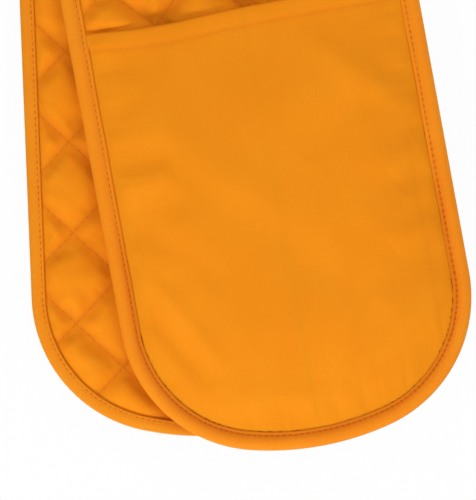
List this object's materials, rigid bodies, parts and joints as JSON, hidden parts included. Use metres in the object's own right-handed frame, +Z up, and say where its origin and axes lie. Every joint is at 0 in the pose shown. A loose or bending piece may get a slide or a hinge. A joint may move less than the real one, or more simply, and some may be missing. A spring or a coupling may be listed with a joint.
{
  "type": "double oven glove",
  "caption": "Quilted double oven glove: one padded strip with a hand pocket at each rounded end, edges bound in tape, folded in half.",
  "frame": {"origin": "middle of the underside of the folded glove's box, on the surface that it lies on", "axes": "+X across the glove, +Y from the two rounded ends to the fold, +Z up, from the rear leg to the front leg"},
  "size_m": [0.2238, 0.3906, 0.0331],
  "materials": {
    "orange_cotton": "matte woven cotton",
    "orange_binding": "matte cotton tape",
    "cream_lining": "matte woven cotton",
    "wadding": "matte fibre batting"
  },
  "bodies": {
    "rear_strap": {"rear_strap_back_fabric": "orange_cotton", "rear_strap_wadding": "wadding", "rear_strap_pocket_side_fabric": "orange_cotton", "rear_strap_left_binding": "orange_binding", "rear_strap_right_binding": "orange_binding"},
    "rear_hand": {"rear_hand_back_fabric": "orange_cotton", "rear_hand_wadding": "wadding", "rear_hand_pocket_side_fabric": "orange_cotton", "rear_hand_binding": "orange_binding"},
    "rear_pocket": {"rear_pocket_lining": "cream_lining", "rear_pocket_wadding": "wadding", "rear_pocket_outer_fabric": "orange_cotton", "rear_pocket_hem": "orange_cotton"},
    "fold_1": {"fold_1_back_fabric": "orange_cotton", "fold_1_wadding": "wadding", "fold_1_pocket_side_fabric": "orange_cotton", "fold_1_left_binding": "orange_binding", "fold_1_right_binding": "orange_binding"},
    "fold_2": {"fold_2_back_fabric": "orange_cotton", "fold_2_wadding": "wadding", "fold_2_pocket_side_fabric": "orange_cotton", "fold_2_left_binding": "orange_binding", "fold_2_right_binding": "orange_binding"},
    "fold_3": {"fold_3_back_fabric": "orange_cotton", "fold_3_wadding": "wadding", "fold_3_pocket_side_fabric": "orange_cotton", "fold_3_left_binding": "orange_binding", "fold_3_right_binding": "orange_binding"},
    "fold_4": {"fold_4_back_fabric": "orange_cotton", "fold_4_wadding": "wadding", "fold_4_pocket_side_fabric": "orange_cotton", "fold_4_left_binding": "orange_binding", "fold_4_right_binding": "orange_binding"},
    "fold_5": {"fold_5_back_fabric": "orange_cotton", "fold_5_wadding": "wadding", "fold_5_pocket_side_fabric": "orange_cotton", "fold_5_left_binding": "orange_binding", "fold_5_right_binding": "orange_binding"},
    "front_strap": {"front_strap_back_fabric": "orange_cotton", "front_strap_wadding": "wadding", "front_strap_pocket_side_fabric": "orange_cotton", "front_strap_left_binding": "orange_binding", "front_strap_right_binding": "orange_binding"},
    "front_hand": {"front_hand_back_fabric": "orange_cotton", "front_hand_wadding": "wadding", "front_hand_pocket_side_fabric": "orange_cotton", "front_hand_binding": "orange_binding"},
    "front_pocket": {"front_pocket_lining": "cream_lining", "front_pocket_wadding": "wadding", "front_pocket_outer_fabric": "orange_cotton", "front_pocket_hem": "orange_cotton"}
  },
  "joints": [
    {"name": "fold_opening", "type": "hinge", "parent": "rear_strap", "child": "front_strap", "pos_m": [0, 0.20215, 0.01128], "axis": [-1, 0, 0], "range_deg": [0, 184]},
    {"name": "fold_hinge_1", "type": "hinge", "parent": "rear_strap", "child": "fold_1", "pos_m": [0, 0.18245, -0.00007], "axis": [-1, 0, 0], "range_deg": [0, 23]},
    {"name": "fold_hinge_2", "type": "hinge", "parent": "fold_1", "child": "fold_2", "pos_m": [0, 0.19137, 0.00298], "axis": [-1, 0, 0], "range_deg": [0, 46]},
    {"name": "fold_hinge_3", "type": "hinge", "parent": "fold_2", "child": "fold_3", "pos_m": [0, 0.19536, 0.01152], "axis": [-1, 0, 0], "range_deg": [0, 46]},
    {"name": "fold_hinge_4", "type": "hinge", "parent": "fold_3", "child": "fold_4", "pos_m": [0, 0.19198, 0.02032], "axis": [-1, 0, 0], "range_deg": [0, 46]},
    {"name": "fold_hinge_5", "type": "hinge", "parent": "fold_4", "child": "fold_5", "pos_m": [0, 0.18331, 0.024], "axis": [-1, 0, 0], "range_deg": [0, 23]},
    {"name": "rear_wrist", "type": "hinge", "parent": "rear_strap", "child": "rear_hand", "pos_m": [0, 0.05424, 0.00911], "axis": [1, 0, 0], "range_deg": [0, 60]},
    {"name": "front_wrist", "type": "hinge", "parent": "front_strap", "child": "front_hand", "pos_m": [0, 0.0437, 0.024], "axis": [-1, 0, 0], "range_deg": [0, 60]},
    {"name": "rear_pocket_opening", "type": "hinge", "parent": "rear_hand", "child": "rear_pocket", "pos_m": [-0.02666, -0.17451, 0.0091], "axis": [-0.9975, 0.0706, 0], "range_deg": [0, 12]},
    {"name": "front_pocket_opening", "type": "hinge", "parent": "front_hand", "child": "front_pocket", "pos_m": [0.02666, -0.18531, 0.024], "axis": [0.9975, 0.0706, 0], "range_deg": [0, 12]}
  ],
  "couplings": [
    {"joint": "fold_hinge_1", "follows": "fold_opening", "ratio": 0.125},
    {"joint": "fold_hinge_2", "follows": "fold_opening", "ratio": 0.25},
    {"joint": "fold_hinge_3", "follows": "fold_opening", "ratio": 0.25},
    {"joint": "fold_hinge_4", "follows": "fold_opening", "ratio": 0.25},
    {"joint": "fold_hinge_5", "follows": "fold_opening", "ratio": 0.125}
  ]
}
